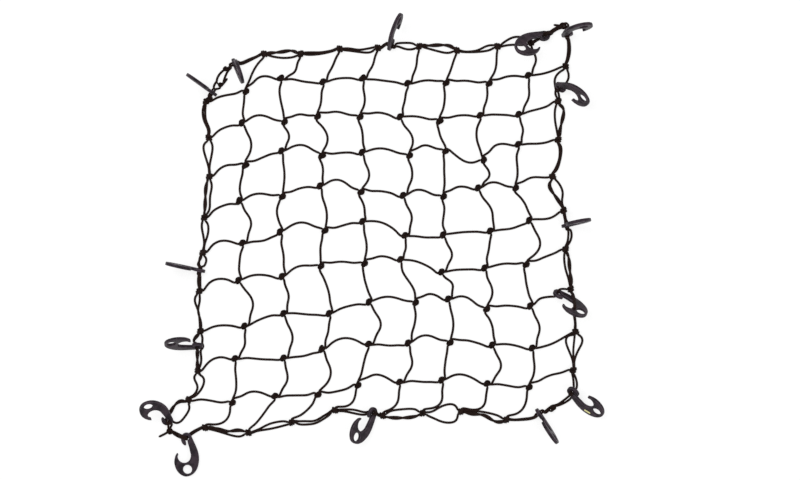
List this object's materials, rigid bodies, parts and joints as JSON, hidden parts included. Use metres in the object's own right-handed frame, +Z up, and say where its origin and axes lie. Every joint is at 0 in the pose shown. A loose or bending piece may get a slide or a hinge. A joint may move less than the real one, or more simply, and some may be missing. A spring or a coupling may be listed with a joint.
{
  "type": "cargo net",
  "caption": "Square elastic cargo net of knotted cord with a doubled rim cord and moulded open hooks threaded on the rim, laid out loose on a flat surface.",
  "frame": {"origin": "on the surface the net lies on, under the middle of its spread outline (the centre of its box is 3 mm or less away)", "axes": "+Z up from the surface, out of the face of the net; +Y along the warps towards the top rim; +X along the wefts towards the right rim"},
  "size_m": [0.9252, 0.9241, 0.0822],
  "materials": {
    "elastic_cord": "matt braided sheath over rubber, near-black brown",
    "hook_nylon": "satin moulded nylon, dark grey with a faint violet cast"
  },
  "bodies": {
    "root": {"weft_1": "elastic_cord", "weft_2": "elastic_cord", "weft_3": "elastic_cord", "weft_4": "elastic_cord", "weft_5": "elastic_cord", "weft_6": "elastic_cord", "weft_7": "elastic_cord", "weft_8": "elastic_cord", "weft_9": "elastic_cord", "warp_1": "elastic_cord", "warp_2": "elastic_cord", "warp_3": "elastic_cord", "warp_4": "elastic_cord", "warp_5": "elastic_cord", "warp_6": "elastic_cord", "warp_7": "elastic_cord", "warp_8": "elastic_cord", "rim_left": "elastic_cord", "rim_top": "elastic_cord", "rim_right": "elastic_cord", "rim_bottom": "elastic_cord", "knot_bottom_left": "elastic_cord", "knot_top_left": "elastic_cord", "knot_top_right": "elastic_cord", "knot_bottom_right": "elastic_cord", "hook_01": "hook_nylon", "hook_02": "hook_nylon", "hook_03": "hook_nylon", "hook_04": "hook_nylon", "hook_05": "hook_nylon", "hook_06": "hook_nylon", "hook_07": "hook_nylon", "hook_08": "hook_nylon", "hook_09": "hook_nylon", "hook_10": "hook_nylon", "hook_11": "hook_nylon", "hook_12": "hook_nylon", "hook_13": "hook_nylon", "hook_14": "hook_nylon", "hook_15": "hook_nylon"}
  },
  "joints": []
}
